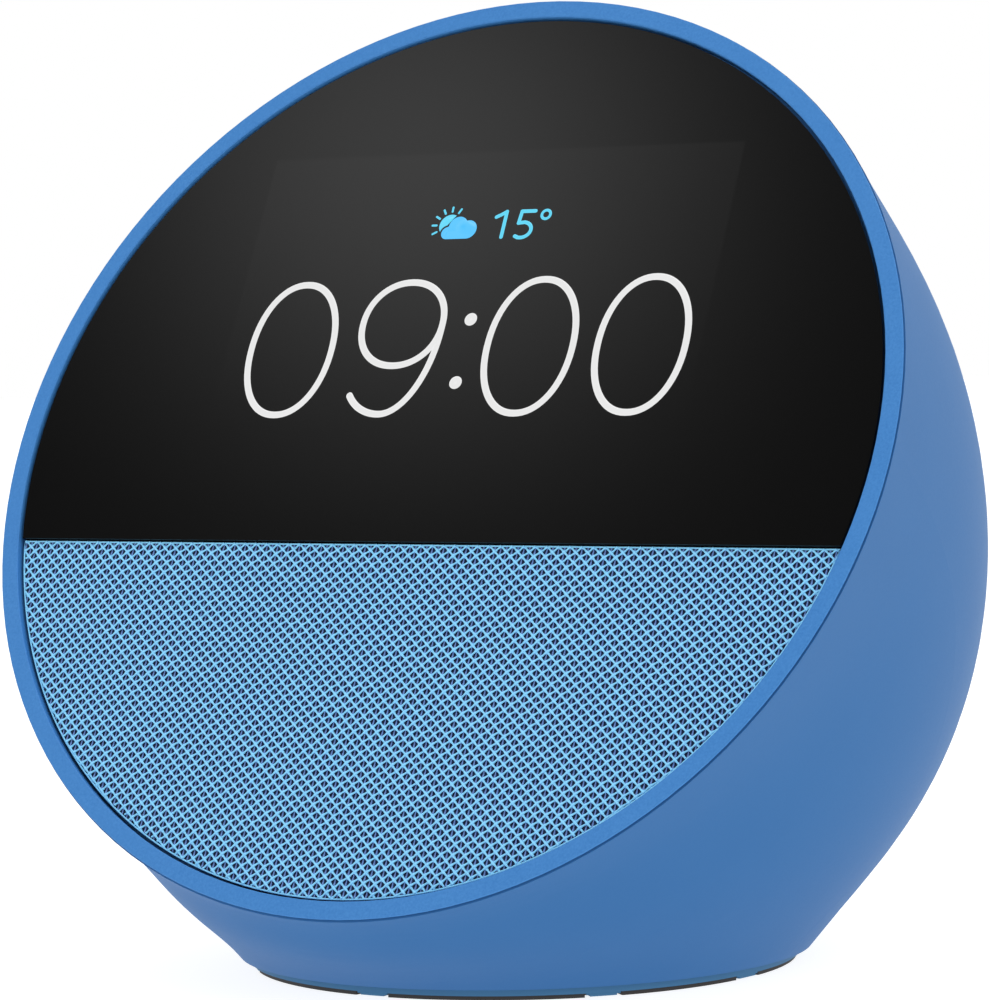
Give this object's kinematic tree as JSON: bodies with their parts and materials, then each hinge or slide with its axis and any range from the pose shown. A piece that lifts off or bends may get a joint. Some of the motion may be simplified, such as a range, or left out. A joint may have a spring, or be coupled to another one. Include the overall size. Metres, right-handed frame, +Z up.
{
  "type": "smart display",
  "caption": "Round-faced smart display: a tilted disc with a clock screen over a fabric speaker grille, on a rounded housing with a flat foot and three top buttons.",
  "frame": {"origin": "on the surface the display stands on, under the middle of its box", "axes": "+Z up, the face looks along -Y and leans back, +X to the display's own left, which is the viewer's right"},
  "size_m": [0.1128, 0.103, 0.1098],
  "materials": {
    "housing_blue": "moulded, fine satin texture",
    "bezel_blue": "moulded, fine grained matt texture",
    "button_blue": "moulded, satin",
    "base_blue": "moulded, satin",
    "black_glass": "polished float glass, printed black behind",
    "black_adhesive": "die-cut adhesive foam",
    "clear_bond": "clear optical adhesive",
    "lcd_glass": "laminated display glass",
    "backlight_white": "white moulded light guide frame",
    "foam_black": "closed-cell foam",
    "pressed_steel": "zinc-plated pressed sheet",
    "screw_steel": "zinc-plated screws",
    "polyimide": "amber flexible circuit",
    "grille_black": "moulded, dark",
    "speaker_cloth": "open knitted mesh, light blue over dark navy",
    "circuit_board": "green solder mask on glass-fibre board",
    "chip_black": "moulded epoxy",
    "thermal_pad_grey": "soft silicone pad",
    "heat_aluminium": "plain rolled sheet",
    "tinned_steel": "tin-plated sheet",
    "socket_ivory": "moulded nylon",
    "socket_black": "moulded nylon",
    "wire_red": "PVC insulated wire",
    "basket_steel": "black painted pressed steel",
    "surround_rubber": "moulded butyl rubber",
    "spider_cloth": "resin-stiffened cotton",
    "paper_cone": "pressed paper pulp",
    "coil_copper": "enamelled copper winding",
    "magnet_steel": "zinc-plated turned steel",
    "ferrite": "ground ferrite",
    "mic_metal": "gold-flashed can",
    "frame_grey": "moulded glass-filled plastic",
    "enclosure_black": "moulded",
    "foot_rubber": "matt silicone rubber",
    "contact_nickel": "nickel plated"
  },
  "bodies": {
    "display": {"housing": "housing_blue", "front_bezel": "bezel_blue", "cover_glass": "black_glass", "glass_adhesive": "black_adhesive", "optical_bond": "clear_bond", "lcd_panel": "lcd_glass", "backlight_unit": "backlight_white", "backlight_foam": "foam_black", "display_bracket": "pressed_steel", "display_screws": "screw_steel", "lcd_flex": "polyimide", "grille_plate": "grille_black", "speaker_fabric": "speaker_cloth", "main_board": "circuit_board", "board_chips": "chip_black", "thermal_pad": "thermal_pad_grey", "heat_spreader": "heat_aluminium", "shield_can": "tinned_steel", "board_sockets": "socket_ivory", "board_screws": "screw_steel", "frame_screws": "screw_steel", "button_flex": "polyimide", "wifi_antennas": "polyimide", "power_lead": "wire_red", "speaker_gasket": "foam_black", "speaker_basket": "basket_steel", "speaker_surround": "surround_rubber", "speaker_spider": "spider_cloth", "top_plate": "magnet_steel", "speaker_magnet": "ferrite", "magnet_yoke": "magnet_steel", "speaker_leads": "wire_red", "speaker_screws": "screw_steel", "enclosure_screws": "screw_steel", "button_board": "circuit_board", "microphones": "mic_metal", "button_board_screws": "screw_steel", "inner_frame": "frame_grey", "speaker_enclosure": "enclosure_black", "base_cover": "base_blue", "foot_ring": "foot_rubber", "base_screws": "screw_steel", "power_board": "circuit_board", "power_socket": "socket_black", "power_pin": "contact_nickel", "power_contact": "contact_nickel", "power_parts": "chip_black", "power_board_screws": "screw_steel", "switch_bodies": "socket_black", "microphone_boots": "surround_rubber"},
    "volume_down": {"volume_down_button": "button_blue", "volume_down_plunger": "socket_ivory"},
    "volume_up": {"volume_up_button": "button_blue", "volume_up_plunger": "socket_ivory"},
    "mic_mute": {"mic_mute_button": "button_blue", "mic_mute_plunger": "socket_ivory"},
    "speaker_diaphragm": {"speaker_cone": "paper_cone", "dust_cap": "paper_cone", "voice_coil": "coil_copper"}
  },
  "joints": [
    {"name": "volume_down_press", "type": "slide", "parent": "display", "child": "volume_down", "axis": [0, -0.5299, -0.848], "range_m": [0, 0.0004], "stiffness_N_per_m": 3000},
    {"name": "volume_up_press", "type": "slide", "parent": "display", "child": "volume_up", "axis": [0, -0.5299, -0.848], "range_m": [0, 0.0004], "stiffness_N_per_m": 3000},
    {"name": "mic_mute_press", "type": "slide", "parent": "display", "child": "mic_mute", "axis": [0, -0.5299, -0.848], "range_m": [0, 0.0004], "stiffness_N_per_m": 3000},
    {"name": "diaphragm_stroke", "type": "slide", "parent": "display", "child": "speaker_diaphragm", "axis": [0, -0.8838, 0.4679], "range_m": [-0.001, 0.001], "stiffness_N_per_m": 1500, "deforming": ["speaker_surround", "speaker_spider"]}
  ]
}
